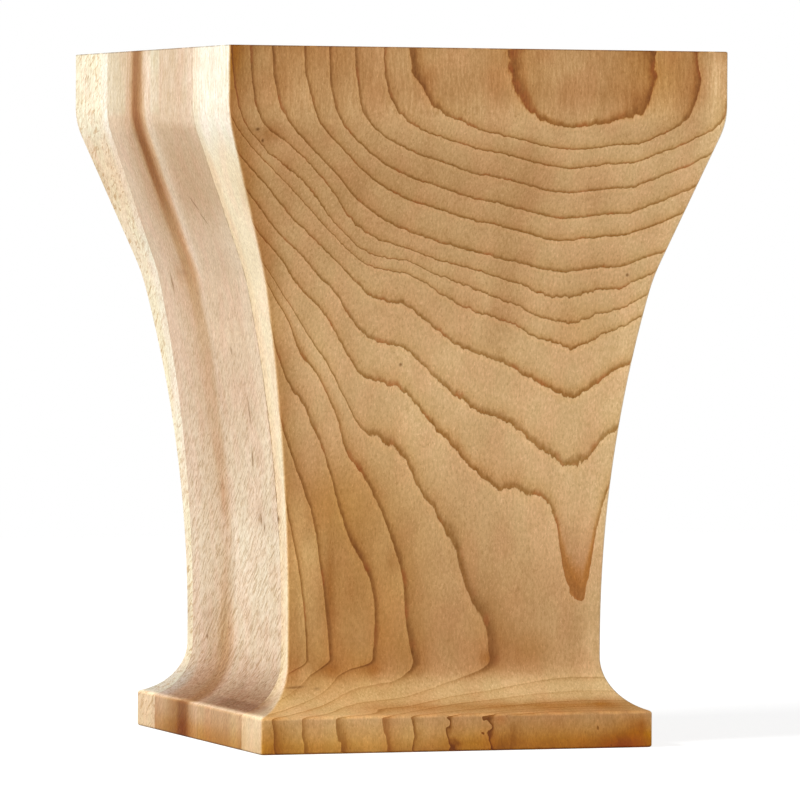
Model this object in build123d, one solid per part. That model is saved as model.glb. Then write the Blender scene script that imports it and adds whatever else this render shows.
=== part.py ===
from build123d import *
import math
import os

# Square bun foot of solid wood, shaped like a short tapered pillar.
# A thick square blank is sawn to one outline from front to back, given a quarter turn and
# sawn to the same outline again, so that its four sides are alike and meet in mitred
# corners. From the top down the outline is a flat band, a soft shoulder, a straight flare,
# a long shallow hollow, a narrow waist, a small cove and a square plinth.
# Millimetres, +Z up, origin at the centre of the bottom face, front face towards -Y.

# Overall sizes
height = 152.4                # floor to top face
top_width = 114.3             # across the flat band, both ways
plinth_width = 90.5           # across the plinth, both ways

# Upper part, measured down from the top face
band_height = 15.3            # down to where the band and the flare would meet sharp
shoulder_radius = 20.0        # rounds that meeting
flare_height = 33.7           # from there down to the foot of the straight flare
flare_blend_radius = 50.0     # softens the flare into the long hollow

# Lower part, measured up from the floor
plinth_height = 7.9           # up to the edge where the cove starts
plinth_edge_radius = 0.9      # takes the sharpness off that edge
cove_radius = 12.0
cove_reach = 8.9              # how far the cove cuts in from the plinth's side
waist_height = 5.0            # straight part between the cove and the long hollow
hollow_spread = 8.7           # how far the long hollow swells outwards, up to the flare

# Sanded edges
corner_radius = 0.6           # the four corners, from the floor to the top
bottom_edge_radius = 0.6
top_edge_radius = 0.4

# Places that follow from those sizes
top_half = top_width / 2
plinth_half = plinth_width / 2
waist_half = plinth_half - cove_reach
flare_foot_half = waist_half + hollow_spread
cove_level = plinth_height + math.sqrt(cove_radius ** 2 - (cove_radius - cove_reach) ** 2)
waist_level = cove_level + waist_height
shoulder_level = height - band_height
flare_foot_level = shoulder_level - flare_height


def cove_arc():
    """Arc of the cove, from the plinth's edge up to where it runs upright into the waist."""
    whole_turn = math.acos((cove_radius - cove_reach) / cove_radius)
    centre_x = waist_half + cove_radius
    middle = (
        centre_x - cove_radius * math.cos(whole_turn / 2),
        cove_level - cove_radius * math.sin(whole_turn / 2),
    )
    return ThreePointArc((plinth_half, plinth_height), middle, (waist_half, cove_level))


def half_outline():
    """Right half of the outline, from the middle line out to the surface.

    The long hollow leaves the waist upright and ends at the foot of the flare, so its
    radius follows from how high it rises and how far it spreads.
    """
    flare_foot = (flare_foot_half, flare_foot_level)
    shoulder = (top_half, shoulder_level)
    cove = cove_arc()
    waist = Line(cove @ 1, (waist_half, waist_level))
    hollow = TangentArc(waist @ 1, flare_foot, tangent=(0, 1))
    flare = Line(flare_foot, shoulder)
    straight_sides = Polyline(shoulder, (top_half, height), (0, height), (0, 0), (plinth_half, 0), cove @ 0)
    outline = make_face([cove, waist, hollow, flare, straight_sides])

    rounded_corners = [
        (cove @ 0, plinth_edge_radius),
        (flare @ 0, flare_blend_radius),
        (flare @ 1, shoulder_radius),
    ]
    for point, radius in rounded_corners:
        corner = outline.vertices().sort_by_distance(point)[0]
        outline = fillet(corner, radius=radius)
    return outline


def sawn_blank():
    """The blank after one sawing: the whole outline, carried straight through it."""
    right = half_outline()
    outline = right + mirror(right, about=Plane.YZ)
    return extrude(Plane.XZ * outline, amount=max(top_half, plinth_half), both=True)


def corner_edges(solid):
    """Edges of the four mitred corners: each of them lies as far out along X as along Y."""
    return [
        edge
        for edge in solid.edges()
        if math.isclose(abs(edge.center().X), abs(edge.center().Y), abs_tol=0.01)
        and abs(edge.center().X) > waist_half / 2
    ]


def rim_edges(solid, level):
    """Edges round one of the two flat ends."""
    return [edge for edge in solid.edges() if math.isclose(edge.center().Z, level, abs_tol=0.01)]


def foot():
    """Two sawings at right angles leave what lies inside both outlines, and then it is sanded."""
    first = sawn_blank()
    second = Rot(0, 0, 90) * first
    body = first & second
    body = fillet(corner_edges(body), radius=corner_radius)
    body = fillet(rim_edges(body, 0), radius=bottom_edge_radius)
    return fillet(rim_edges(body, height), radius=top_edge_radius)


os.makedirs("parts", exist_ok=True)
export_step(foot(), "parts/foot.step")
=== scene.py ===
import math

import bpy
import numpy as np
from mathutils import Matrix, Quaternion, Vector


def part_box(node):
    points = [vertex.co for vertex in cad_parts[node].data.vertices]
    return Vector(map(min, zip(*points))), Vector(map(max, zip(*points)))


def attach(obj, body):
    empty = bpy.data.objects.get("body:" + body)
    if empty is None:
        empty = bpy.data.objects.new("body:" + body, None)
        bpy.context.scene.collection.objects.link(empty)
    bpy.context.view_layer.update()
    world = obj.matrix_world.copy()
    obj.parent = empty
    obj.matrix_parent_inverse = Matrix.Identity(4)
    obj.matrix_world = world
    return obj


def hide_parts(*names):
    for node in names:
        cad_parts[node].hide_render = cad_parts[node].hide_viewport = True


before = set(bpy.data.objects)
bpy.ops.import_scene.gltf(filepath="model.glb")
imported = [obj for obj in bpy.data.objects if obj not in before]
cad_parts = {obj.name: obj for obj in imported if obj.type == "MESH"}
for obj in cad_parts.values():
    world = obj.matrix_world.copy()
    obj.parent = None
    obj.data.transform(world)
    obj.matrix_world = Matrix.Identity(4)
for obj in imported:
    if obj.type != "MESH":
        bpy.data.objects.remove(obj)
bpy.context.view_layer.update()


# The foot is one glued-up block of light hardwood, bandsawn to one outline from the front and
# to the same outline from the side, so that its four faces meet in mitred corners.
# It is sanded bare and has no finish on it. Everything is in metres.

foot_low, foot_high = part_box("foot")
height = foot_high.z - foot_low.z
top_half = foot_high.x
band_height = 0.0153
shoulder_radius = 0.020
flare_height = 0.0337
flare_blend_radius = 0.050
plinth_half = 0.04525
plinth_height = 0.0079
plinth_edge_radius = 0.0009
cove_radius = 0.012
cove_reach = 0.0089
waist_height = 0.005
hollow_spread = 0.0087
corner_radius = 0.0006
bottom_edge_radius = 0.0006
top_edge_radius = 0.0004

waist_half = plinth_half - cove_reach
flare_foot_half = waist_half + hollow_spread
cove_level = plinth_height + math.sqrt(cove_radius ** 2 - (cove_radius - cove_reach) ** 2)
waist_level = cove_level + waist_height
shoulder_level = height - band_height
flare_foot_level = shoulder_level - flare_height


def arc_points(centre, radius, start, end, count=160):
    """Centre plus radius times the cosine and sine of angles from start to end, in radians."""
    angle = np.linspace(start, end, count)
    return np.stack([centre[0] + radius * np.cos(angle), centre[1] + radius * np.sin(angle)], axis=1)


def sawn_outline():
    """Reach from the middle line and level, from the floor's rim up to the top rim.

    Every stretch is an arc or a straight line that touches its neighbours. The long hollow's radius is
    (rise squared plus spread squared) over twice the spread. The blend circle between the hollow and the
    flare has its centre on a line beside the flare, where it also lies inside the hollow's circle.
    """
    flare_foot = np.array([flare_foot_half, flare_foot_level])
    flare_run = np.array([top_half, shoulder_level]) - flare_foot
    flare_angle = math.atan2(flare_run[0], flare_run[1])
    up_flare = flare_run / np.hypot(*flare_run)
    out_of_flare = np.array([up_flare[1], -up_flare[0]])

    rise = flare_foot_level - waist_level
    hollow_radius = (rise ** 2 + hollow_spread ** 2) / (2 * hollow_spread)
    hollow_centre = np.array([waist_half + hollow_radius, waist_level])
    offset = flare_foot + out_of_flare * flare_blend_radius - hollow_centre
    half_b = offset @ up_flare
    rest = offset @ offset - (hollow_radius - flare_blend_radius) ** 2
    slide = -half_b + math.copysign(math.sqrt(half_b ** 2 - rest), half_b)
    blend_centre = hollow_centre + offset + up_flare * slide
    touch = blend_centre - hollow_centre
    touch_angle = math.atan2(touch[1], touch[0]) % math.tau

    cove_centre = (waist_half + cove_radius, cove_level)
    edge_x = plinth_half - plinth_edge_radius
    edge_drop = math.sqrt((cove_radius + plinth_edge_radius) ** 2 - (cove_centre[0] - edge_x) ** 2)
    edge_centre = (edge_x, cove_level - edge_drop)
    edge_turn = math.atan2(edge_drop, cove_centre[0] - edge_x)

    shoulder_rise = shoulder_radius * math.tan(flare_angle / 2)
    shoulder_centre = (top_half - shoulder_radius, shoulder_level + shoulder_rise)
    floor_rim_centre = (plinth_half - bottom_edge_radius, bottom_edge_radius)
    top_rim_centre = (top_half - top_edge_radius, height - top_edge_radius)
    return np.concatenate([
        arc_points(floor_rim_centre, bottom_edge_radius, -math.pi / 2, 0),
        arc_points(edge_centre, plinth_edge_radius, 0, edge_turn),
        arc_points(cove_centre, cove_radius, math.pi + edge_turn, math.pi),
        arc_points(hollow_centre, hollow_radius, math.pi, touch_angle, 800),
        arc_points(blend_centre, flare_blend_radius, touch_angle, math.pi - flare_angle),
        arc_points(shoulder_centre, shoulder_radius, -flare_angle, 0),
        arc_points(top_rim_centre, top_edge_radius, 0, math.pi / 2),
    ])


def even_rows(outline, step, step_per_turn):
    """Points along the outline at even steps of a pace, which is its length plus a share of its turning.

    The turning makes the rows crowd together on the small edges. Returns reach, level and slope,
    where slope is the upward part of the surface's outward direction, from -1 to 1.
    """
    run = np.diff(outline, axis=0)
    length = np.hypot(run[:, 0], run[:, 1])
    kept = length > 1e-9
    outline = np.concatenate([outline[:1], outline[1:][kept]])
    run = run[kept]
    length = length[kept]
    heading = np.unwrap(np.arctan2(run[:, 1], run[:, 0]))
    turning = np.abs(np.diff(heading, prepend=heading[0]))
    pace = np.concatenate([[0], np.cumsum(length + step_per_turn * turning)])
    stops = np.linspace(0, pace[-1], int(pace[-1] / step) + 1)
    reach = np.interp(stops, pace, outline[:, 0])
    level = np.interp(stops, pace, outline[:, 1])
    heading_at_stops = np.interp(stops, pace[1:], heading)
    return reach, level, -np.cos(heading_at_stops)


def square_round(side_points, corner_points):
    """One turn round a square with round corners, as two unit tables.

    A point is (half width - corner radius) times the first table plus corner radius times the second.
    The first holds the place on a unit square, and the second the direction out of the surface.
    """
    across = np.linspace(-1, 1, side_points + 2)[1:-1]
    side = np.stack([np.ones(side_points), across], axis=1)
    side_out = np.tile([1.0, 0.0], (side_points, 1))
    angle = np.linspace(0, math.pi / 2, corner_points)
    corner = np.ones((corner_points, 2))
    corner_out = np.stack([np.cos(angle), np.sin(angle)], axis=1)
    quarter = np.concatenate([side, corner])
    quarter_out = np.concatenate([side_out, corner_out])
    quarter_turn = np.array([[0.0, -1.0], [1.0, 0.0]])
    places = [quarter]
    outs = [quarter_out]
    for _ in range(3):
        places.append(places[-1] @ quarter_turn.T)
        outs.append(outs[-1] @ quarter_turn.T)
    return np.concatenate(places), np.concatenate(outs)


def gentle_waves(points, wave_length, count, seed):
    """Sum of sine waves in seeded directions and phases, scaled to run from 0 to 1."""
    chance = np.random.default_rng(seed)
    direction = chance.normal(size=(count, 3))
    direction /= np.linalg.norm(direction, axis=1, keepdims=True)
    pitch = math.tau / (wave_length * chance.uniform(0.6, 1.7, count))
    phase = chance.uniform(0, math.tau, count)
    waves = np.sin(points @ (direction * pitch[:, None]).T + phase).mean(axis=-1)
    return (waves - waves.min()) / (waves.max() - waves.min())


def keep_on_mesh(mesh, name, values):
    """Keeps one value for each point of the mesh, where a material can read it under that name."""
    kept = mesh.attributes.new(name, "FLOAT", "POINT")
    kept.data.foreach_set("value", values.astype(np.float32))


def foot_mesh():
    """Rows of the outline carried round the square, and rings that close the two flat ends.

    A vertex is at (reach - corner radius) times the square's place plus corner radius times its outward
    direction, at the row's level. Sanding takes up to a tenth of a millimetre off the four faces.
    """
    sanding_depth = 0.0001
    end_rings = 10
    reach, level, slope = even_rows(sawn_outline(), step=0.0005, step_per_turn=0.003)
    rows = len(reach)
    place, out = square_round(side_points=46, corner_points=9)
    columns = len(place)

    side_rows = np.empty((rows, columns, 3))
    side_rows[:, :, :2] = (reach[:, None, None] - corner_radius) * place + corner_radius * out
    side_rows[:, :, 2] = level[:, None]
    upright = np.clip(1 - 2 * np.abs(slope), 0, 1)
    waves = gentle_waves(side_rows, wave_length=0.03, count=24, seed=11)
    sanded = sanding_depth * waves * upright[:, None]
    side_rows[:, :, :2] -= sanded[:, :, None] * out

    shrink = np.linspace(0, 1, end_rings + 1)[1:-1]
    bottom = np.broadcast_to(side_rows[0], (len(shrink), columns, 3)).copy()
    bottom[:, :, :2] *= shrink[:, None, None]
    top = np.broadcast_to(side_rows[-1], (len(shrink), columns, 3)).copy()
    top[:, :, :2] *= shrink[::-1, None, None]
    grid = np.concatenate([bottom, side_rows, top])
    count = len(grid)
    poles = np.array([[0, 0, level[0]], [0, 0, level[-1]]])
    vertices = np.concatenate([grid.reshape(-1, 3), poles])

    ring = np.arange(columns)
    after = (ring + 1) % columns
    row_start = np.arange(count - 1)[:, None] * columns
    quads = np.stack([
        row_start + ring,
        row_start + after,
        row_start + columns + after,
        row_start + columns + ring,
    ], axis=2).reshape(-1, 4)
    bottom_pole = len(vertices) - 2
    top_pole = len(vertices) - 1
    last = (count - 1) * columns
    bottom_fan = np.stack([np.full(columns, bottom_pole), after, ring], axis=1)
    top_fan = np.stack([np.full(columns, top_pole), last + ring, last + after], axis=1)

    mesh = bpy.data.meshes.new("foot_surface")
    mesh.from_pydata(vertices.tolist(), [], quads.tolist() + bottom_fan.tolist() + top_fan.tolist())
    mesh.shade_smooth()

    end_slope = np.ones((len(shrink), columns))
    row_slope = np.broadcast_to(slope[:, None], (rows, columns))
    end_grain = np.concatenate([-end_slope, row_slope, end_slope]).ravel()
    end_grain = np.concatenate([end_grain, [-1, 1]])
    side_face = np.broadcast_to(out[:, 0] ** 2, (count, columns)).ravel()
    side_face = np.concatenate([side_face, [0.5, 0.5]])
    keep_on_mesh(mesh, "end_grain", end_grain)
    keep_on_mesh(mesh, "side_face", side_face)
    return mesh


foot_surface = foot_mesh()


# The wood is four boards, face-glued into a block with joints parallel to the front: a front board,
# two middle boards and a back board. Each keeps its own growth rings and colour. From here on the
# wood's sizes are in millimetres, because the rings are read in them.

wood = bpy.data.materials.new("bare_hardwood")
wood.use_nodes = True
tree = wood.node_tree
tree.nodes.clear()


def add_node(kind, inputs=(), **settings):
    """A shader node with its settings, and each listed input set to a number or joined to a socket."""
    made = tree.nodes.new(kind)
    for name, value in settings.items():
        setattr(made, name, value)
    for name, value in dict(inputs).items():
        if isinstance(value, bpy.types.NodeSocket):
            tree.links.new(value, made.inputs[name])
        else:
            made.inputs[name].default_value = value
    return made


def arithmetic(operation, *values):
    """The result of one arithmetic operation on the values, taken in their order."""
    return add_node("ShaderNodeMath", dict(enumerate(values)), operation=operation).outputs[0]


def sum_of(first, *others):
    """All the values added."""
    for other in others:
        first = arithmetic("ADD", first, other)
    return first


def times(first, *others):
    """All the values multiplied."""
    for other in others:
        first = arithmetic("MULTIPLY", first, other)
    return first


def less(value, taken):
    """The first value minus the second."""
    return arithmetic("SUBTRACT", value, taken)


def rest_of(share):
    """One minus the share."""
    return less(1.0, share)


def times_plus(value, factor, added):
    """The value multiplied by the factor, and then the rest added."""
    return arithmetic("MULTIPLY_ADD", value, factor, added)


def size_of(value):
    """The value without its sign."""
    return arithmetic("ABSOLUTE", value)


def distance(across, along):
    """Square root of the sum of two squares."""
    return arithmetic("SQRT", times_plus(across, across, times(along, along)))


def fade(value, nothing_at, full_at):
    """A smooth S-shaped step, 0 at the first level and 1 at the second, whichever of them is higher."""
    return add_node("ShaderNodeMapRange", {
        "Value": value, "From Min": nothing_at, "From Max": full_at,
    }, interpolation_type="SMOOTHSTEP").outputs[0]


def beyond(value, level):
    """1 where the value is over the level, and 0 elsewhere."""
    return arithmetic("GREATER_THAN", value, level)


def between(share, start, end):
    """Start where the share is 0, end where it is 1, and a straight mix between."""
    return add_node("ShaderNodeMix", {0: share, 2: start, 3: end}, data_type="FLOAT").outputs[0]


def stain(share, under, over):
    """The colour under, covered by the colour over as far as the share says."""
    under = (*under, 1) if isinstance(under, tuple) else under
    over = (*over, 1) if isinstance(over, tuple) else over
    return add_node("ShaderNodeMix", {0: share, 6: under, 7: over}, data_type="RGBA").outputs[2]


def read_curve(value, points):
    """Height of the straight lines that join the given points, at the value. The end lines run on."""
    points = np.array(points, float)
    low, high = points[0, 0], points[-1, 0]
    lowest, highest = points[:, 1].min(), points[:, 1].max()
    span = max(highest - lowest, 1e-6)
    made = add_node("ShaderNodeFloatCurve", {"Value": times(less(value, low), 1 / (high - low))})
    made.mapping.use_clip = False
    made.mapping.extend = "EXTRAPOLATED"
    line = made.mapping.curves[0]
    while len(line.points) < len(points):
        line.points.new(0.5, 0.5)
    for spot, (along, rise) in zip(line.points, points):
        spot.location = ((along - low) / (high - low), (rise - lowest) / span)
        spot.handle_type = "VECTOR"
    made.mapping.update()
    return sum_of(times(made.outputs[0], span), lowest)


def fibre_noise(across, along, detail=2.0, roughness=0.5, lean=(0, 0, 0), shift=(0, 0, 0), curl=0.0):
    """Smooth random values from 0 to 1 in the wood, in grains so wide across and so long up the grain.

    The lean turns the grains, the shift takes them from another place and the curl bends their edges.
    """
    grains = add_node("ShaderNodeMapping", {
        "Vector": place_mm, "Location": shift, "Rotation": lean, "Scale": (across, across, along),
    }, vector_type="TEXTURE").outputs[0]
    return add_node("ShaderNodeTexNoise", {
        "Vector": grains, "Scale": 1.0, "Detail": detail, "Roughness": roughness, "Distortion": curl,
    }).outputs[0]


def swing(noise, most):
    """A noise value turned into a push from about minus most to plus most."""
    return times_plus(noise, 2 * most, -most)


place_mm = add_node("ShaderNodeMapping", {
    "Vector": add_node("ShaderNodeTexCoord").outputs["Object"], "Scale": (1000.0, 1000.0, 1000.0),
}).outputs[0]
place_xyz = add_node("ShaderNodeSeparateXYZ", {0: place_mm})
right, back, up = place_xyz.outputs
side_face = add_node("ShaderNodeAttribute", attribute_name="side_face").outputs["Fac"]
end_grain = add_node("ShaderNodeAttribute", attribute_name="end_grain").outputs["Fac"]
flat_end = beyond(size_of(end_grain), 0.995)

# Boards, by their glue joints
board_thickness = 31.75
past_front_joint = beyond(back, -board_thickness)
past_middle_joint = beyond(back, 0.0)
in_back_board = beyond(back, board_thickness)
in_front_board = rest_of(past_front_joint)


def by_board(front, middle_front, middle_back, rear):
    """One value for each board, picked by the glue joints."""
    value = between(past_front_joint, front, middle_front)
    value = between(past_middle_joint, value, middle_back)
    return between(in_back_board, value, rear)


def board_colour(front, middle_front, middle_back, rear):
    """One colour for each board, picked by the glue joints."""
    value = stain(past_front_joint, front, middle_front)
    value = stain(past_middle_joint, value, middle_back)
    return stain(in_back_board, value, rear)


def soft_patch(across, rise, half_across, half_rise, slant=0.0):
    """A soft round patch, 1 at its middle and 0 from its edge outwards.

    Across holds the coordinate to go by and the middle's place in it. The slant leans the patch over.
    """
    aside = times_plus(across[0], 1 / half_across, -across[1] / half_across)
    above = times_plus(up, 1 / half_rise, -rise / half_rise)
    if slant:
        aside = times_plus(above, -slant * half_rise / half_across, aside)
    return fade(distance(aside, above), 1.0, 0.0)


surface_mm = np.empty((len(foot_surface.vertices), 3), np.float32)
foot_surface.vertices.foreach_get("co", surface_mm.ravel())
surface_right, surface_back, surface_up = 1000 * surface_mm.T


def soft_patches(name, across, *patches):
    """Sum of soft patches, worked out at the points of the mesh and kept on it under the name.

    Each patch is middle, level, half width, half height and strength. With t as one minus the distance
    from its middle, but at least 0, it adds its strength times t squared times (3 - 2 t).
    """
    total = np.zeros(len(across))
    for middle, rise, half_across, half_rise, strength in patches:
        away = np.hypot((across - middle) / half_across, (surface_up - rise) / half_rise)
        near = np.clip(1 - away, 0, 1)
        total += strength * near ** 2 * (3 - 2 * near)
    keep_on_mesh(foot_surface, name, total)
    return add_node("ShaderNodeAttribute", attribute_name=name).outputs["Fac"]


# Growth rings: the distance from each board's pith, which leans sideways as it rises
pith_right = sum_of(by_board(33.5, 60.0, -46.0, -14.0), times(up, by_board(-0.083, 0.03, -0.02, 0.075)))
pith_back = by_board(-240.0, -330.0, 330.0, 246.0)
ring_radius = distance(less(right, pith_right), less(back, pith_back))

# The rings aren't true circles. How far each stands off one, from left to right, as read on the front
inner_lean = read_curve(right, (
    (-57, 1.0), (-50, 0.8), (-44, 0.45), (-38, 0.5), (-32, 0.85), (-27, 1.15), (-20, 1.25), (-15, 1.0),
    (-10, 0.65), (-5, 0.4), (0, 0.2), (6, 0.0), (12, 0.0), (17, 0.2), (22, 0.35), (28, 0.2), (32, 0.15),
    (37, 0.3), (42, 0.1), (50, -0.1), (57, -0.2),
))
outer_lean = read_curve(right, (
    (-57, 1.6), (-50, 1.7), (-43, 1.9), (-36, 1.8), (-30, 1.85), (-25, 2.15), (-22, 2.1), (-20, 1.9),
    (-17, 1.35), (-13, 0.65), (-10, 0.45), (-5, 0.4), (0, 0.35), (5, 0.15), (10, 0.0), (16, 0.05),
    (21, 0.25), (27, 0.55), (31, 0.4), (36, 0.0), (42, -0.15), (57, -0.2),
))
last_lean = read_curve(right, (
    (-57, -0.2), (-40, 0.0), (-35, 0.3), (-28, 0.75), (-20, 0.75), (-14, 0.5), (-5, 0.4), (0, 0.35),
    (5, 0.15), (10, 0.0), (57, 0.0),
))
tongue_lean = read_curve(right, (
    (-57, 0.0), (12, 0.0), (15, -0.2), (19, -0.45), (21.5, -0.6), (23.5, -0.6), (25, -0.44), (26, -0.25),
    (27.3, 0.0), (28.8, 0.22), (30, 0.3), (31.8, 0.5), (33, 0.46), (33.8, 0.4), (34.5, 0.22),
    (35.8, -0.05), (37, -0.3), (40, -0.3), (57, -0.3),
))
plinth_lean = read_curve(right, (
    (-57, 1.9), (-42, 1.9), (-35, 1.8), (-28, 1.35), (-21, 0.4), (-16, -0.2), (-10.5, 0.3), (-2.5, 0.4),
    (3, 0.1), (7, -0.2), (11, 0.3), (57, 0.3),
))
bowl_lean = read_curve(right, (
    (-57, 0.3), (-52, 0.15), (-47, 0.3), (-40, 0.45), (-34, 0.35), (-27, 0.2), (-21, 0.45), (-16, 0.7),
    (-11, 0.5), (-6, 0.3), (0, 0.2), (6, 0.22), (12, 0.24), (34, 0.25), (39, 0.4), (43, 0.4), (50, 0.45),
    (57, 0.5),
))
ring_lean = between(fade(ring_radius, 195.5, 199.0), inner_lean, outer_lean)
ring_lean = between(times(fade(ring_radius, 206.2, 207.6), fade(up, 16.0, 20.0)), ring_lean, last_lean)
low_right = times(fade(up, 23.0, 19.0), fade(right, 4.0, 14.0))
ring_lean = between(low_right, ring_lean, last_lean)
ring_lean = sum_of(
    ring_lean,
    times(tongue_lean, fade(ring_radius, 201.6, 202.7), fade(up, 29.5, 32.5)),
    times(bowl_lean, fade(up, 137.5, 147.0)),
    times(fade(ring_radius, 184.3, 183.6), -0.2),
)
ring_lean = sum_of(ring_lean, soft_patches(
    "lean_places", surface_right,
    (-10.0, 141.0, 7.0, 6.0, 0.25),
    (-41.0, 123.0, 16.0, 11.0, -0.5),
    (-38.0, 101.0, 10.0, 9.0, 0.5),
    (-38.0, 84.0, 9.0, 14.0, 0.7),
    (-34.0, 79.0, 4.5, 9.0, -0.28),
    (5.0, 75.0, 9.0, 4.5, 0.1),
    (-29.0, 72.0, 9.0, 24.0, -0.15),
    (-36.0, 70.0, 7.0, 17.0, 0.35),
    (-17.0, 70.0, 7.0, 5.0, -0.15),
    (-24.0, 67.0, 5.0, 10.0, 0.28),
    (5.0, 65.0, 7.0, 6.0, 0.18),
    (9.0, 60.0, 9.0, 8.0, 0.2),
    (-6.0, 58.0, 6.0, 8.0, 0.2),
    (-30.0, 50.0, 5.0, 10.0, -0.15),
    (-2.0, 40.0, 5.0, 9.0, 0.15),
    (6.0, 37.0, 9.0, 14.0, 0.27),
    (-18.0, 34.0, 8.0, 20.0, -0.5),
    (-8.0, 28.0, 4.0, 12.0, 0.25),
))
ring_lean = between(fade(up, 9.5, 8.2), ring_lean, plinth_lean)
jagged = swing(fibre_noise(1.3, 9.0, detail=3.0, roughness=0.65), 0.15)
over_waist = fade(up, 30.0, 62.0)
jagged = times(jagged, between(over_waist, 0.3, 1.0), between(fade(up, 137.0, 141.0), 1.0, 0.5))
rippled = swing(fibre_noise(1.6, 2.4, detail=2.0, roughness=0.6), 0.1)
rippled = times(rippled, between(over_waist, 0.45, 1.0))
drifting = swing(fibre_noise(8.0, 40.0), 0.2)
wavy = times(swing(fibre_noise(3.0, 3.0, detail=1.0), 0.5), fade(up, 8.6, 7.6))
wavy = times(wavy, between(fade(right, -15.0, -6.0), 0.3, 1.0))
ring_place = sum_of(less(ring_radius, ring_lean), jagged, rippled, drifting, wavy)

# Ring boundaries of the front board, as distances from its pith. Further out they go on evenly
ring_boundaries = (
    180.0, 181.6, 183.45, 184.9, 186.35, 188.25, 190.2, 191.9, 194.35, 195.7, 196.75, 197.65,
    199.35, 201.25, 202.85, 204.8, 207.0, 208.9, 211.2, 213.0, 214.8,
)
ring_age = read_curve(ring_place, [(radius, age) for age, radius in enumerate(ring_boundaries)])
in_ring = arithmetic("FRACT", ring_age)
ring_number = arithmetic("FLOOR", ring_age)
ring_noise = add_node("ShaderNodeTexWhiteNoise", {"W": ring_number}, noise_dimensions="1D")
ring_chance = ring_noise.outputs["Value"]
late_wood = fade(in_ring, 0.2, 1.0)
ring_line = times(fade(in_ring, 0.84, 0.97), fade(in_ring, 1.0, 0.985))

# Colour of each board on the faces that follow the grain, on the two sides and on the ends. The sides
# are paler, partly from the boards' own pale figure there and partly as a painted sheen
face_colour = board_colour(
    (0.74, 0.475, 0.22), (0.72, 0.48, 0.26), (0.70, 0.46, 0.27), (0.74, 0.50, 0.25),
)
side_colour_and_sheen = board_colour(
    (0.93, 0.86, 0.69), (0.72, 0.53, 0.355), (0.74, 0.56, 0.39), (0.96, 0.87, 0.65),
)
end_colour = board_colour(
    (0.50, 0.29, 0.13), (0.48, 0.29, 0.16), (0.46, 0.27, 0.15), (0.52, 0.32, 0.15),
)
# The sides' paler colour includes a painted sheen as well as their own colour
bare = stain(side_face, face_colour, side_colour_and_sheen)
bare = stain(flat_end, bare, end_colour)


def tint(share, under, by):
    """The colour under, each part of it multiplied by the tint as far as the share says."""
    by = (*by, 1) if isinstance(by, tuple) else by
    return add_node("ShaderNodeMix", {
        0: share, 6: under, 7: by,
    }, data_type="RGBA", blend_type="MULTIPLY", clamp_factor=False).outputs[2]


# Where the wood lies: off the two flat ends, on the front and the back, and on the front alone
off_ends = rest_of(flat_end)
front_share = times(rest_of(side_face), off_ends)
on_front = times(front_share, in_front_board)

# Distances in from the two corners of the front
from_left_edge = less(right, back)
from_right_edge = less(times(back, -1.0), right)

# Brown over the front, uneven, as shares up its left, its middle and its right, and in places
brown_left = read_curve(up, (
    (0, 0.75), (3, 0.35), (8, 0.25), (11, 0.3), (14, 0.75), (18, 1.1), (24, 0.85), (32, 0.7), (42, 0.55),
    (50, 0.65), (60, 0.6), (70, 0.35), (80, 0.25), (90, 0.3), (100, 0.3), (110, 0.4), (125, 0.6),
    (134, 0.6), (138, 0.55), (143, 0.85), (152, 1.0),
))
brown_middle = read_curve(up, (
    (0, 1.1), (4, 0.7), (8, 0.65), (9.4, 1.0), (11, 0.4), (14, 0.35), (17, 0.75), (24, 0.75), (32, 0.65),
    (42, 0.5), (50, 0.4), (60, 0.25), (70, 0.0), (85, 0.0), (95, 0.15), (105, 0.2), (115, 0.3),
    (125, 0.55), (134, 0.35), (138, 0.45), (143, 0.75), (152, 0.75),
))
brown_right = read_curve(up, (
    (0, 1.2), (4, 0.8), (8, 0.8), (9.4, 1.3), (11.2, 0.45), (14, 0.2), (18, 0.5), (24, 0.55), (32, 0.35),
    (42, 0.15), (50, 0.05), (60, -0.05), (80, -0.1), (100, 0.0), (112, 0.0), (122, 0.05), (132, 0.1),
    (137, 0.4), (143, 0.85), (152, 0.9),
))
brown = between(fade(right, -42.0, -8.0), brown_left, brown_middle)
brown = between(fade(right, 0.0, 36.0), brown, brown_right)
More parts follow.
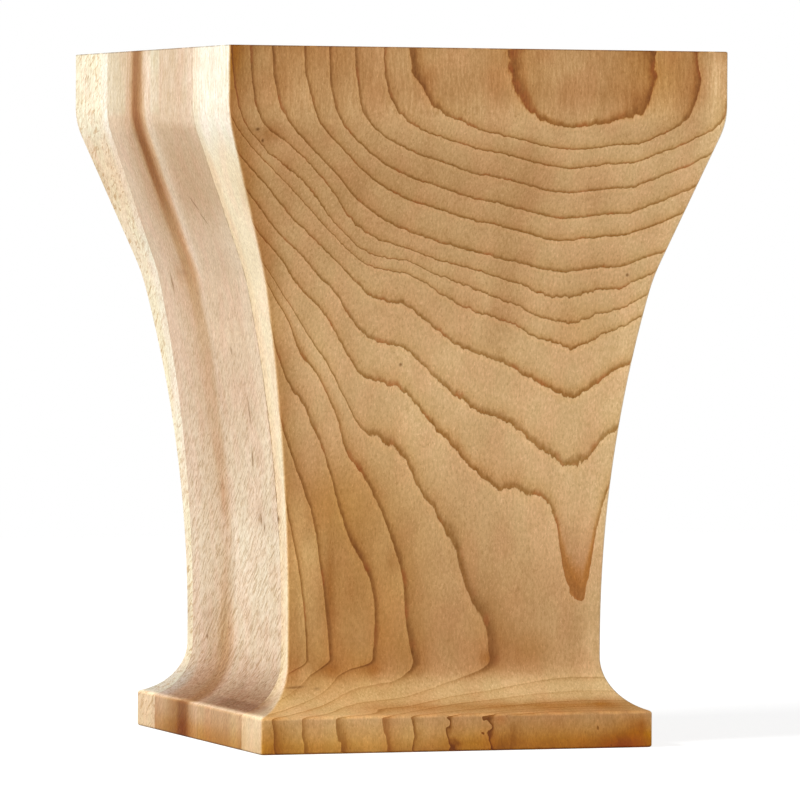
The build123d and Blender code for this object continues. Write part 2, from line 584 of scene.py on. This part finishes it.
brown = sum_of(brown, soft_patches(
    "brown_places", surface_right,
    # On the band
    (-10.0, 149.0, 7.0, 8.0, -0.25),
    (-20.0, 149.0, 6.0, 8.0, -0.2),
    (20.0, 149.0, 8.0, 9.0, -0.3),
    (10.0, 148.0, 5.0, 7.0, -0.25),
    (54.0, 148.0, 5.0, 10.0, -0.55),
    (50.5, 146.0, 2.5, 8.0, 0.35),
    (-40.0, 144.0, 5.0, 12.0, -0.25),
    (41.0, 142.0, 7.0, 8.0, -0.18),
    (24.0, 141.0, 18.0, 9.0, 0.1),
    (55.0, 140.0, 5.0, 18.0, -0.5),
    (36.0, 138.0, 12.0, 5.0, -0.2),
    (10.0, 136.0, 9.0, 7.0, -0.15),
    # On the flare
    (-47.5, 133.5, 5.0, 4.0, 0.4),
    (30.0, 121.0, 9.0, 8.0, 0.3),
    (12.0, 118.0, 12.0, 24.0, 0.2),
    (-18.0, 115.0, 6.0, 5.0, 0.25),
    # On the long hollow
    (10.0, 99.0, 7.0, 20.0, 0.35),
    (1.0, 97.0, 6.0, 6.0, 0.15),
    (30.0, 96.0, 9.0, 20.0, 0.15),
    (-40.0, 93.0, 6.0, 9.0, -0.35),
    (29.0, 93.0, 9.0, 8.0, 0.15),
    (-30.0, 87.0, 8.0, 12.0, -0.25),
    (10.0, 81.0, 6.0, 5.0, 0.15),
    (20.0, 80.0, 8.0, 10.0, 0.12),
    (9.0, 70.0, 8.0, 10.0, 0.2),
    (-10.0, 70.0, 7.0, 12.0, -0.18),
    (0.0, 56.0, 9.0, 26.0, -0.18),
    (-30.0, 56.0, 6.0, 9.0, 0.15),
    (-21.0, 48.0, 14.0, 22.0, 0.25),
    (20.0, 48.0, 9.0, 14.0, -0.2),
    (-34.5, 46.0, 2.2, 14.0, -0.4),
    # On the waist
    (-31.0, 41.0, 7.0, 9.0, -0.25),
    (-12.5, 41.0, 3.0, 5.0, 0.3),
    (-26.8, 38.0, 2.4, 20.0, 0.45),
    (-32.4, 34.0, 2.2, 18.0, -0.3),
    (-11.0, 22.0, 8.0, 10.0, 0.12),
    (13.0, 22.0, 9.0, 9.0, 0.15),
    (-30.0, 22.0, 7.0, 9.0, -0.18),
    (34.5, 22.0, 4.0, 8.0, -0.3),
    (20.5, 21.0, 8.0, 7.0, 0.22),
    (9.5, 19.5, 3.0, 3.0, 0.4),
    (-26.5, 17.5, 4.5, 3.0, 0.35),
    (-17.5, 17.5, 4.5, 3.5, 0.4),
    (-32.5, 17.0, 2.5, 4.0, -0.35),
    # On the cove and the plinth
    (14.0, 13.0, 14.0, 5.0, -0.3),
    (-25.0, 8.0, 9.0, 4.0, -0.2),
    (42.5, 5.2, 3.0, 3.5, 0.6),
    (-22.0, 4.0, 16.0, 8.0, -0.25),
    (-10.0, 4.0, 9.0, 7.0, -0.3),
    (-42.0, 3.0, 6.0, 9.0, 0.5),
    (10.0, 3.0, 8.0, 8.0, 0.3),
    (38.0, 1.0, 14.0, 7.0, 0.5),
))
# Browner near the left corner of the front, and paler near the right corner, where the paleness is a
# painted highlight along that rounded corner
brown = sum_of(brown, times(fade(from_left_edge, 7.0, 0.0), fade(up, 30.0, 90.0), 0.45))
brown = sum_of(brown, times(fade(from_right_edge, 7.0, 0.0), -0.3))
brown = sum_of(brown, swing(fibre_noise(7.0, 14.0, detail=2.0), 0.3))
bare = tint(times(brown, front_share), bare, (0.62, 0.46, 0.30))

# Honey-coloured places on the front, where the brown turns more orange
honey = soft_patches(
    "honey_places", surface_right,
    # On the band
    (9.0, 148.0, 10.0, 13.0, 0.4),
    (41.0, 147.0, 14.0, 14.0, 1.0),
    # On the long hollow
    (28.0, 93.0, 9.0, 8.0, 0.35),
    (-24.0, 54.0, 13.0, 13.0, 0.65),
    (-30.0, 54.0, 6.0, 10.0, 0.3),
    # On the waist
    (-22.0, 38.0, 30.0, 42.0, 1.0),
    (-12.0, 32.0, 7.0, 12.0, 0.35),
    (-15.0, 25.0, 4.0, 9.0, 0.4),
    (10.0, 24.0, 14.0, 12.0, 0.25),
    (-10.0, 22.0, 9.0, 9.0, 0.5),
    (20.0, 21.0, 8.0, 7.0, 0.35),
    (-28.0, 20.0, 9.0, 10.0, 0.6),
    (-20.0, 18.5, 7.0, 6.0, 0.7),
    # On the cove and the plinth
    (-41.0, 5.0, 5.0, 5.0, 0.6),
    (41.0, 3.0, 8.0, 6.0, 1.5),
    (22.0, 2.5, 22.0, 5.0, 0.7),
    (4.0, 2.0, 12.0, 6.0, 0.5),
    (43.0, 2.0, 5.0, 4.0, 1.0),
    (2.0, 1.5, 14.0, 4.0, 0.5),
)
honey = sum_of(honey, fade(up, 8.4, 4.0))
outer_honey = sum_of(0.7, times(size_of(less(right, -5.0)), 0.022))
honey = sum_of(honey, times(fade(up, 5.0, 1.0), outer_honey))
honey_edge = between(fade(up, 128.0, 138.0), 0.5, 0.0)
honey = sum_of(honey, times(fade(from_left_edge, 6.0, 0.0), honey_edge))
bare = tint(times(honey, front_share), bare, (1.0, 0.94, 0.72))

# The cove of the front is a little greener, and the left end of its band is less red
over_plinth = fade(up, 7.9, 8.5)
bare = tint(times(front_share, fade(up, 18.0, 13.5), over_plinth), bare, (0.985, 1.05, 1.06))
left_band = times(front_share, fade(right, -47.0, -52.0), fade(up, 136.0, 142.0))
bare = tint(left_band, bare, (0.93, 0.98, 0.97))

# The rings themselves: late wood turns orange-brown towards each boundary and stops at a thin dark
# line, and the early wood that follows is paler. In the cove they fade. Two rings close up into
# bowls under the top. At the right a ring hangs down like a tongue, with no line just below it
cove_share = times(fade(up, 18.0, 14.0), fade(up, 7.7, 8.4))
line_strength = between(side_face, by_board(1.0, 0.9, 0.9, 1.0), by_board(0.03, 0.12, 0.16, 0.12))
line_strength = between(flat_end, line_strength, 0.6)
line_strength = times(line_strength, between(cove_share, 1.0, between(fade(up, 12.0, 9.5), 0.5, 0.8)))
eye_space = times(soft_patch((right, 11.6), 4.0, 3.0, 12.0), fade(up, 8.2, 7.8), in_front_board)
tongue_share = times(
    soft_patch((right, 31.0), 40.0, 12.0, 20.0), on_front, fade(ring_radius, 201.8, 202.3),
)
over_gap = rest_of(times(
    fade(size_of(less(right, 31.0)), 6.5, 5.0), fade(up, 32.0, 30.5), fade(up, 22.0, 24.0),
))
line_strength = times(line_strength, rest_of(eye_space), rest_of(times(tongue_share, 0.6)), over_gap)
late_share = times(late_wood, between(ring_chance, 0.15, 0.45), line_strength)
late_share = sum_of(late_share, times(fade(in_ring, 0.6, 1.0), line_strength, 0.35))
bare = tint(late_share, bare, (0.80, 0.68, 0.46))
bowl_share = times(
    fade(ring_place, 183.08, 183.35), fade(ring_place, 183.5, 183.42), on_front, fade(up, 134.0, 137.0),
)
blob_share = times(
    fade(ring_place, 184.5, 184.82), fade(ring_place, 184.95, 184.88), on_front, fade(up, 137.0, 140.0),
)
bare = tint(sum_of(times(bowl_share, 0.75), times(blob_share, 0.5)), bare, (0.84, 0.66, 0.36))
bare = tint(times(tongue_share, fade(in_ring, 0.45, 0.8), over_gap), bare, (0.90, 0.80, 0.76))
bare = tint(times(tongue_share, fade(in_ring, 0.78, 0.92), over_gap), bare, (0.88, 0.66, 0.26))
warm_lines = soft_patches(
    "warm_line_places", surface_right,
    (26.0, 82.0, 20.0, 13.0, 1.0),
    (3.0, 66.0, 26.0, 17.0, 0.7),
    (-21.0, 42.0, 13.0, 18.0, 0.8),
)
last_growth = fade(in_ring, 0.72, 0.98)
bare = tint(times(warm_lines, last_growth, on_front), bare, (0.88, 0.74, 0.54))
below_cove = fade(up, 8.2, 7.6)
plinth_late = times(last_growth, line_strength, front_share, below_cove, fade(right, 12.0, 8.0))
bare = tint(times(plinth_late, between(fade(right, -15.0, -6.0), 0.6, 1.1)), bare, (0.78, 0.64, 0.42))
line_patches = between(fibre_noise(2.5, 5.0), 0.55, 1.15)
line_patches = times(line_patches, between(fibre_noise(0.6, 0.9, shift=(-9, 0, 0)), 0.6, 1.4))
line_share = times(ring_line, line_patches, line_strength, rest_of(times(cove_share, 0.45)))
line_share = times(line_share, rest_of(times(below_cove, fade(right, -6.0, -15.0), 0.45)))
redder_line = fade(fibre_noise(4.0, 7.0, shift=(-20, 0, 0)), 0.52, 0.66)
line_tint = stain(redder_line, (0.55, 0.43, 0.22), (0.68, 0.41, 0.24))
bare = tint(line_share, bare, line_tint)
early_share = times(fade(in_ring, 0.16, 0.03), line_strength, front_share)
bare = tint(early_share, bare, (1.07, 1.07, 1.07))

# Small dark specks and a pale one on the front, and a swirl between two ring lines on its plinth
specks = sum_of(
    soft_patch((right, -50.3), 134.5, 0.7, 0.6),
    soft_patch((right, -48.9), 132.1, 0.5, 0.6),
    soft_patch((right, 38.5), 103.6, 0.6, 0.6),
    soft_patch((right, -12.5), 84.0, 0.6, 0.6),
    times(soft_patch((right, -30.0), 13.6, 1.2, 0.6), 0.5),
    times(soft_patch((right, -35.0), 14.0, 3.0, 0.5, slant=3.0), 0.7),
)
bare = tint(times(specks, on_front), bare, (0.35, 0.24, 0.12))
on_plinth = times(on_front, fade(up, 8.0, 7.4))
bare = tint(times(soft_patch((right, 9.6), 6.8, 2.6, 2.2), on_plinth), bare, (1.0, 0.82, 0.68))
bare = tint(times(soft_patch((right, 10.0), 0.8, 2.8, 3.2), on_plinth), bare, (0.78, 0.72, 0.58))
bare = tint(times(soft_patch((right, 12.6), 3.2, 1.4, 4.5), on_plinth), bare, (0.82, 0.74, 0.56))
swirl = times(soft_patch((right, 10.4), 4.2, 1.7, 2.8), fade(fibre_noise(0.4, 1.5, curl=1.5), 0.46, 0.6))
bare = tint(times(swirl, on_plinth), bare, (1.22, 1.28, 1.34))
pale_spot = times(soft_patch((right, -34.1), 136.2, 1.1, 1.0), on_front)
bare = tint(pale_spot, bare, (1.18, 1.25, 1.34))

# The sides: a brown mineral streak runs up the middle back board, dark on the band and the flare
side_share = times(side_face, off_ends)
plinth_level = fade(up, 8.1, 7.6)
on_side_plinth = times(side_share, plinth_level)
seen_side = between(beyond(right, 0.0), 1.0, 0.5)
streak_middle = read_curve(up, (
    (0, 11.5), (7.8, 11.5), (8.3, 7.5), (20, 8.0), (30, 8.0), (45, 7.0), (55, 6.0), (75, 6.8), (90, 6.8),
    (100, 7.8), (110, 8.8), (120, 9.8), (135, 10.2), (152, 9.7),
))
from_streak = less(back, sum_of(streak_middle, swing(fibre_noise(2.5, 20.0), 1.1)))
streak_skirt = times(
    fade(from_streak, 20.0, 4.0), fade(from_streak, -7.5, -2.0),
    between(fade(up, 30.0, 22.0), 0.45, 0.75),
)
streak_flank = times(fade(from_streak, 6.5, 1.5), fade(from_streak, -7.5, -1.0), read_curve(up, (
    (0, 0.3), (7.8, 0.3), (8.3, 0.5), (14, 0.4), (22, 0.6), (28, 0.85), (40, 0.6), (48, 0.15),
    (55, 0.45), (62, 0.5), (70, 0.25), (80, 0.25), (90, 0.3), (100, 0.6), (105, 0.7), (115, 0.75),
    (122, 0.9), (140, 0.95), (152, 0.9),
)))
streak_core = times(fade(from_streak, 4.2, 1.6), fade(from_streak, -5.5, 0.0), read_curve(up, (
    (0, 0.8), (7.8, 0.8), (8.3, 0.0), (108, 0.0), (115, 0.25), (120, 0.6), (125, 0.8), (130, 1.0),
    (138, 1.05), (143, 0.95), (152, 0.9),
)))
streak_grain = times(side_share, seen_side, between(fibre_noise(0.6, 6.0), 0.85, 1.15))
in_grain = times(fade(back, 33.0, 31.0), streak_grain)
bare = tint(times(sum_of(streak_skirt, times(streak_flank, 0.85)), in_grain), bare, (0.74, 0.58, 0.40))
bare = tint(times(streak_core, in_grain), bare, (0.64, 0.47, 0.34))
plinth_streak = times(fade(back, 27.0, 15.0), fade(back, 2.0, 9.0), plinth_level, in_grain)
bare = tint(times(plinth_streak, 0.9), bare, (0.72, 0.53, 0.36))
pale_stripe = times(fade(size_of(less(back, 0.6)), 4.5, 0.5), fade(up, 96.0, 112.0), side_share)
pale_stripe = times(pale_stripe, rest_of(times(streak_core, 0.5)))
bare = stain(times(pale_stripe, 0.5), bare, (0.88, 0.74, 0.56))
ember = times(soft_patch((back, 6.2), 53.0, 3.0, 8.0), side_share, seen_side)
bare = tint(ember, bare, (0.92, 0.68, 0.50))
warm_flank = times(fade(size_of(sum_of(from_streak, 4.5)), 4.0, 0.5), in_grain)
warm_flank = times(warm_flank, fade(up, 97.0, 104.0), fade(up, 150.0, 136.0))
bare = tint(times(warm_flank, 0.9), bare, (1.0, 0.88, 0.76))


def mottle(share, under, noise, darkest, lightest):
    """The colour under, multiplied by a tint between the darkest and the lightest, as the noise says."""
    return tint(share, under, stain(noise, darkest, lightest))


# Soft upright stripes on the sides, and short curled ones on the back board. Wood that is darker is
# deeper in colour too, so blue changes more than red
stripes = fibre_noise(0.9, 22.0, detail=3.0, roughness=0.6)
bare = mottle(side_share, bare, stripes, (0.89, 0.87, 0.85), (1.11, 1.13, 1.15))
curls = fibre_noise(1.0, 4.0, detail=2.0, roughness=0.6, lean=(math.radians(62), 0, 0), curl=1.0)
curl_share = times(fade(curls, 0.53, 0.65), side_share, in_back_board)
bare = tint(times(curl_share, 0.75), bare, (0.70, 0.54, 0.38))

# The middle boards grow paler above the cove, and the flare below the band is darker
middle_share = times(side_share, past_front_joint, rest_of(in_back_board))
middle_pale = times(middle_share, read_curve(up, (
    (0, 0.1), (8, 0.1), (12, 0.2), (20, 0.3), (26, 0.45), (34, 0.7), (44, 0.9), (52, 0.55), (62, 0.35),
    (75, 0.05), (130, 0.0), (138, 0.1), (152, 0.15),
)), between(past_middle_joint, 1.0, 0.45))
bare = stain(middle_pale, bare, (0.86, 0.72, 0.52))
joint_pale = times(middle_share, fade(back, -22.0, -29.0), fade(up, 50.0, 70.0), 0.3)
bare = stain(joint_pale, bare, (0.88, 0.75, 0.56))
back_pale = times(side_share, fade(back, 38.5, 34.0), in_back_board, fade(up, 45.0, 75.0), 0.4)
bare = stain(back_pale, bare, (0.98, 0.94, 0.84))
flare_top = sum_of(
    up, swing(fibre_noise(6.0, 6.0), 2.0), times(fade(back, 15.0, 18.0), 3.5),
    times(fade(back, -1.0, -3.0), 1.5),
)
flare_share = times(
    side_share, fade(up, 108.0, 122.0), fade(flare_top, 138.5, 136.5),
    between(fade(up, 128.0, 134.0), 1.0, 0.65),
)
middle_flare = between(
    past_middle_joint, between(fade(back, -9.0, -3.0), 1.0, 0.5), times(fade(back, 28.0, 16.0), 0.55),
)
bare = tint(times(flare_share, middle_share, middle_flare), bare, (0.82, 0.76, 0.67))
cream_flare = times(rest_of(middle_share), side_share, fade(up, 136.0, 125.0))
bare = tint(times(cream_flare, by_board(1.0, 0.0, 0.0, 0.3)), bare, (1.0, 0.907, 0.77))
bare = tint(times(flare_share, in_back_board), bare, (0.96, 0.88, 0.82))
near_joint = times(side_share, fade(back, -37.5, -33.0), in_front_board)
bare = tint(near_joint, bare, (0.95, 0.89, 0.82))
band_share = times(side_share, middle_share, fade(up, 137.5, 139.5))
bare = tint(times(band_share, fade(back, -5.0, -9.0)), bare, (0.955, 0.955, 0.96))
bare = tint(times(band_share, fade(size_of(sum_of(back, 4.0)), 4.5, 2.0)), bare, (1.0, 1.12, 1.16))
bare = tint(times(band_share, fade(back, 16.0, 19.0)), bare, (1.0, 1.09, 1.11))

# Fibres torn up by the saw: short strokes that slant forwards, thickest below the middle. Each
# stroke's dark side is painted shade and its light side a painted highlight, over the bump further on
torn_fibre = fibre_noise(
    0.53, 3.2, detail=2.0, roughness=0.55, lean=(math.radians(50), 0, 0), curl=0.6,
)
torn_lower = sum_of(0.3, times(fade(up, 115.0, 80.0), 0.35), times(fade(up, 85.0, 48.0), 0.55))
torn_share = times(
    side_share, between(fade(up, 7.6, 8.4), 0.35, 1.0), between(in_back_board, torn_lower, 0.5),
)
torn_share = times(torn_share, between(fade(back, -32.5, -34.5), 1.0, 0.4))
torn_painted_shade = fade(torn_fibre, 0.47, 0.38)
torn_painted_highlight = fade(torn_fibre, 0.50, 0.60)
torn_painted_shade = times(torn_painted_shade, torn_share, between(fibre_noise(2.5, 4.0), 0.5, 1.5))
# Painted shade in the torn strokes, then a painted highlight on their lifted edges
bare = tint(torn_painted_shade, bare, (0.80, 0.75, 0.68))
bare = tint(times(torn_painted_highlight, torn_share), bare, (1.06, 1.10, 1.15))

# The plinth and the end grain in the cove are darker on the sides
side_plinth = times(
    on_side_plinth, by_board(0.6, 1.1, 1.0, 0.35), between(fade(up, 7.5, 0.0), 0.75, 1.3),
)
bare = tint(side_plinth, bare, (0.74, 0.57, 0.40))
cove_lines = fibre_noise(0.4, 5.0, detail=2.0, roughness=0.6, lean=(math.radians(80), 0, 0))
across_cove = read_curve(back, (
    (-57, 0.55), (-39.5, 0.55), (-33, 1.0), (-10, 1.0), (-4, 0.85), (12, 0.85), (22, 0.9), (30, 0.6),
    (36, 0.55), (57, 0.4),
))
low_cove = times(fade(up, 13.0, 9.5), fade(back, -6.0, -12.0), 0.12)
side_cove = times(
    side_share, sum_of(fade(up, 22.0, 9.5), low_cove), over_plinth, across_cove,
    between(past_front_joint, fade(up, 14.5, 10.0), 1.0),
)
bare = tint(times(side_cove, between(cove_lines, 0.75, 1.35)), bare, (0.50, 0.40, 0.34))
grey_cove = times(side_share, fade(up, 16.0, 11.0), over_plinth, fade(back, 22.0, 28.0))
bare = tint(grey_cove, bare, (0.92, 1.05, 1.22))
side_low = times(side_share, fade(up, 5.0, 2.0), fade(back, 31.0, 20.0), fade(back, -30.0, 10.0))
bare = tint(side_low, bare, (1.0, 0.93, 0.72))
bare = tint(times(on_side_plinth, fade(back, 30.0, 33.0)), bare, (0.92, 0.86, 0.80))
for middle, rise, half_across, half_rise, paler in (
    (-27.0, 3.0, 6.0, 12.0, (1.15, 1.30, 1.28)),
    (-2.0, 3.0, 6.0, 12.0, (1.06, 1.20, 1.25)),
    (17.0, 4.0, 14.0, 16.0, (1.06, 1.25, 1.28)),
):
    pale_patch = soft_patch((back, middle), rise, half_across, half_rise)
    bare = tint(times(on_side_plinth, pale_patch), bare, paler)
cove_line = times(side_share, fade(size_of(less(up, 9.2)), 1.1, 0.3), fade(back, 2.0, -3.0))
bare = tint(cove_line, bare, (0.78, 0.74, 0.72))

# Places on the sides that are duller, warmer or brighter than the wood around them, and a painted
# highlight along the plinth's rounded upper edge
seen_share = times(side_share, seen_side)
dull_places = soft_patches(
    "dull_places", surface_back,
    (46.5, 146.0, 4.5, 5.0, 1.0),
    (15.0, 146.0, 3.5, 7.0, 0.5),
    (15.0, 133.0, 2.5, 4.0, 0.5),
    (13.0, 133.0, 2.6, 4.0, 0.6),
    (50.0, 124.0, 5.0, 12.0, 0.7),
    (-51.0, 121.0, 5.0, 9.0, 0.9),
    (14.0, 103.5, 8.0, 4.0, 1.0),
    (6.5, 62.0, 2.6, 5.0, 0.5),
    (6.5, 53.0, 2.5, 9.0, 0.5),
    (-20.0, 50.5, 6.0, 5.0, 1.0),
    (-28.0, 44.0, 5.0, 14.0, 0.6),
    (22.0, 26.5, 9.0, 2.5, 0.6),
    (35.0, 26.0, 5.0, 9.0, 1.2),
    (21.0, 23.0, 9.0, 12.0, 0.8),
    (-32.5, 13.5, 1.8, 4.0, 1.2),
    (-37.5, 12.5, 6.0, 9.0, 1.3),
    (32.6, 4.0, 1.8, 8.0, 1.2),
)
bare = tint(times(dull_places, seen_share), bare, (0.87, 0.82, 0.79))
warm_places = soft_patches(
    "warm_places", surface_back,
    (9.6, 137.0, 2.4, 11.0, 0.6),
    (-46.0, 131.0, 9.0, 6.0, 0.35),
    (-51.0, 119.0, 5.0, 9.0, 0.6),
    (15.0, 102.5, 7.0, 4.0, 0.6),
    (3.0, 50.0, 3.0, 9.0, 0.5),
    (-28.0, 36.0, 6.0, 14.0, 0.3),
    (2.2, 24.0, 2.4, 14.0, 1.0),
    (10.0, 2.5, 8.0, 5.0, 1.6),
    (12.0, 2.0, 6.0, 4.0, 1.0),
)
bare = tint(times(warm_places, seen_share), bare, (0.98, 0.90, 0.78))
bright_places = soft_patches(
    "bright_places", surface_back,
    (27.5, 135.5, 4.0, 4.5, 1.0),
    (4.0, 132.0, 3.0, 5.0, 0.5),
    (4.0, 131.0, 3.0, 6.0, 1.2),
    (4.0, 109.0, 3.0, 8.0, 0.8),
    (-8.0, 90.0, 36.0, 7.0, 0.7),
    (39.5, 79.0, 4.0, 22.0, 1.0),
    (-27.5, 71.0, 5.0, 26.0, 1.0),
    (-30.7, 71.0, 1.2, 12.0, 1.2),
    (20.0, 50.0, 12.0, 6.0, 0.5),
    (-8.0, 30.0, 12.0, 14.0, 0.4),
)
bare = tint(times(bright_places, seen_share), bare, (1.08, 1.09, 1.09))
# A painted highlight along the plinth's rounded upper edge, broken up on the sides
highlight_breaks = fade(fibre_noise(4.0, 4.0), 0.38, 0.55)
plinth_rim_highlight = times(off_ends, fade(size_of(less(up, 7.8)), 0.6, 0.1), between(side_share, highlight_breaks, 1.0))
bare = tint(plinth_rim_highlight, bare, (1.18, 1.18, 1.16))

# Short dark checks on the sides
checks = sum_of(
    soft_patch((back, -12.5), 118.5, 0.7, 2.5, slant=1.3),
    soft_patch((back, -15.5), 115.5, 0.6, 2.5, slant=1.3),
    soft_patch((back, -12.0), 86.5, 0.9, 1.4),
    soft_patch((back, -18.7), 73.0, 0.7, 5.0),
    soft_patch((back, -17.3), 63.0, 0.9, 3.6, slant=-0.1),
    soft_patch((back, -20.0), 49.5, 1.0, 2.2),
    soft_patch((back, -22.0), 48.0, 0.8, 1.8),
    soft_patch((back, 22.5), 101.0, 0.9, 4.2),
    soft_patch((back, -32.2), 50.3, 1.6, 1.2),
    soft_patch((back, 21.0), 21.5, 1.3, 0.9),
)
bare = tint(times(checks, seen_share), bare, (0.50, 0.40, 0.30))

# Glue joints, which show as thin broken lines on the sides and the ends, most of all the front one
front_joint = times(
    fade(size_of(sum_of(back, board_thickness)), 0.55, 0.1), side_share,
    fade(up, 36.0, 48.0), fade(up, 128.0, 115.0), between(fade(up, 82.0, 72.0), 0.8, 1.4),
    fade(fibre_noise(0.7, 1.6, detail=2.0), 0.42, 0.55),
)
bare = tint(times(front_joint, 0.75), bare, (0.50, 0.38, 0.26))
joint_gap = arithmetic(
    "MINIMUM", size_of(less(back, board_thickness)), size_of(sum_of(back, board_thickness)),
)
joint_gap = arithmetic("MINIMUM", joint_gap, size_of(back))
joint_share = times(fade(joint_gap, 0.22, 0.05), fade(fibre_noise(0.8, 4.0), 0.35, 0.65), side_face)
bare = tint(times(joint_share, 0.35), bare, (0.45, 0.33, 0.22))

# Fine fibres, broad clouds of tone, and a shift between a greener and a pinker brown
fine_fibre = fade(fibre_noise(0.42, 1.0, detail=2.0, roughness=0.6), 0.28, 0.72)
fine_darkest = stain(side_face, (0.905, 0.875, 0.81), (0.89, 0.87, 0.85))
fine_lightest = stain(side_face, (1.08, 1.105, 1.16), (1.09, 1.11, 1.13))
bare = mottle(1.0, bare, fine_fibre, fine_darkest, fine_lightest)
clouds = fibre_noise(5.0, 11.0, detail=3.0, roughness=0.6)
bare = mottle(1.0, bare, clouds, (0.90, 0.88, 0.84), (1.10, 1.12, 1.17))
band_fibre = fade(fibre_noise(0.65, 4.0, detail=2.0, roughness=0.6), 0.3, 0.7)
bare = mottle(fade(up, 136.0, 139.0), bare, band_fibre, (0.91, 0.88, 0.81), (1.07, 1.11, 1.17))
pale_flecks = fade(fibre_noise(0.33, 0.6, detail=1.0, shift=(-30, 0, 0)), 0.60, 0.70)
dark_flecks = fade(fibre_noise(0.33, 0.8, detail=1.0, shift=(-60, 0, 0)), 0.39, 0.31)
bare = tint(pale_flecks, bare, stain(side_face, (1.12, 1.16, 1.26), (1.05, 1.07, 1.10)))
bare = tint(dark_flecks, bare, (0.88, 0.84, 0.77))
blush = fibre_noise(5.0, 9.0, detail=0.0)
bare = tint(fade(blush, 0.35, 0.7), bare, (1.02, 0.97, 0.98))

# The sharp rims round the top and the floor are darkened along a thin line
rim_share = sum_of(times(fade(up, 152.05, 152.25), 0.6), times(fade(up, 0.6, 0.1), 0.35))
rim_share = times(rim_share, off_ends, fade(fibre_noise(3.0, 6.0), 0.3, 0.5))
bare = tint(rim_share, bare, (0.30, 0.26, 0.22))

# A dull bare surface, slightly rough to the touch from fine fibres and torn ones
relief = sum_of(times(fine_fibre, 0.15), times(fade(torn_fibre, 0.35, 0.6), torn_share, 0.4))
wood_bump = add_node("ShaderNodeBump", {"Height": relief, "Strength": 0.55, "Distance": 0.00025})
wood_shader = add_node("ShaderNodeBsdfPrincipled", {
    "Base Color": bare, "Roughness": 0.62, "Specular IOR Level": 0.2, "Normal": wood_bump.outputs[0],
})
add_node("ShaderNodeOutputMaterial", {"Surface": wood_shader.outputs[0]})

foot = bpy.data.objects.new("foot_wood", foot_surface)
bpy.context.scene.collection.objects.link(foot)
foot.data.materials.append(wood)
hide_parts("foot")
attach(foot, "root")


# The floor is a plain white sheet. It lies a hair below the foot, so that the two surfaces don't
# coincide. Seen directly it glows, so that it is white as far as the eye reaches and still holds the
# foot's soft shadow.

floor_half = 0.9
floor_gap = 0.00003
floor_grey = 0.5
floor_glow = 0.8
floor_level = foot_low.z - floor_gap
floor_mesh = bpy.data.meshes.new("floor_sheet")
floor_mesh.from_pydata([
    (-floor_half, -floor_half, floor_level),
    (floor_half, -floor_half, floor_level),
    (floor_half, floor_half, floor_level),
    (-floor_half, floor_half, floor_level),
], [], [(0, 1, 2, 3)])
floor_paint = bpy.data.materials.new("floor_white")
floor_paint.use_nodes = True
tree = floor_paint.node_tree
tree.nodes.clear()
seen_directly = add_node("ShaderNodeLightPath").outputs["Is Camera Ray"]
matt = add_node("ShaderNodeBsdfDiffuse", {"Color": (floor_grey, floor_grey, floor_grey, 1)})
glow = add_node("ShaderNodeEmission", {
    "Color": (1, 1, 1, 1), "Strength": times(seen_directly, floor_glow),
})
floor_mix = add_node("ShaderNodeAddShader", {0: matt.outputs[0], 1: glow.outputs[0]})
add_node("ShaderNodeOutputMaterial", {"Surface": floor_mix.outputs[0]})
floor = bpy.data.objects.new("floor", floor_mesh)
floor_mesh.materials.append(floor_paint)
bpy.context.scene.collection.objects.link(floor)


# The studio: a large soft lamp from the left and above, a weaker one from the front, and a pale
# room all round, which is plain white where the camera sees it.

room = bpy.data.worlds.new("pale_room")
bpy.context.scene.world = room
room.use_nodes = True
tree = room.node_tree
tree.nodes.clear()
seen_directly = add_node("ShaderNodeLightPath").outputs["Is Camera Ray"]
room_light = 0.2
room_glow = add_node("ShaderNodeBackground", {
    "Color": (1, 1, 1, 1), "Strength": between(seen_directly, room_light, 1.0),
})
add_node("ShaderNodeOutputWorld", {"Surface": room_glow.outputs[0]})


def soft_lamp(name, azimuth, elevation, away, size, watts):
    """A square lamp so far from the foot's middle, turned to it. Azimuth 0 is in front, -90 left."""
    lamp = bpy.data.lights.new(name, "AREA")
    lamp.shape = "SQUARE"
    lamp.size = size
    lamp.energy = watts
    holder = bpy.data.objects.new(name, lamp)
    turn = math.radians(azimuth)
    rise = math.radians(elevation)
    direction = Vector((
        math.sin(turn) * math.cos(rise), -math.cos(turn) * math.cos(rise), math.sin(rise),
    ))
    holder.location = Vector((0, 0, height / 2)) + direction * away
    holder.rotation_mode = "QUATERNION"
    holder.rotation_quaternion = (-direction).to_track_quat("-Z", "Y")
    bpy.context.scene.collection.objects.link(holder)
    return holder


soft_lamp("left_lamp", azimuth=-80, elevation=33, away=1.6, size=0.6, watts=25.5)
soft_lamp("front_lamp", azimuth=10, elevation=2, away=1.8, size=0.9, watts=20)


# The camera stands as it did for the photograph: far off, almost level, and a little to the left.

camera_away = 1.5388
camera_turn = math.radians(-19.24)
camera_rise = math.radians(1.54)
camera_tilt = math.radians(0.36)
looks_right = 0.00174
looks_down = 0.00109
camera_data = bpy.data.cameras.new("camera")
camera_data.sensor_width = 36.0
camera_data.lens = 310.3
camera_data.clip_start = 0.1
camera_data.clip_end = 20.0
camera = bpy.data.objects.new("camera", camera_data)
towards_camera = Vector((
    math.sin(camera_turn) * math.cos(camera_rise),
    -math.cos(camera_turn) * math.cos(camera_rise),
    math.sin(camera_rise),
))
camera_right = Vector((math.cos(camera_turn), math.sin(camera_turn), 0))
middle = Vector((0, 0, height / 2))
camera.location = middle + towards_camera * camera_away
looked_at = middle + camera_right * looks_right + Vector((0, 0, -looks_down))
looking = looked_at - camera.location
camera.rotation_mode = "QUATERNION"
camera.rotation_quaternion = looking.to_track_quat("-Z", "Y") @ Quaternion((0, 0, 1), camera_tilt)
bpy.context.scene.collection.objects.link(camera)
bpy.context.scene.camera = camera
bpy.context.scene.view_settings.view_transform = "Standard"
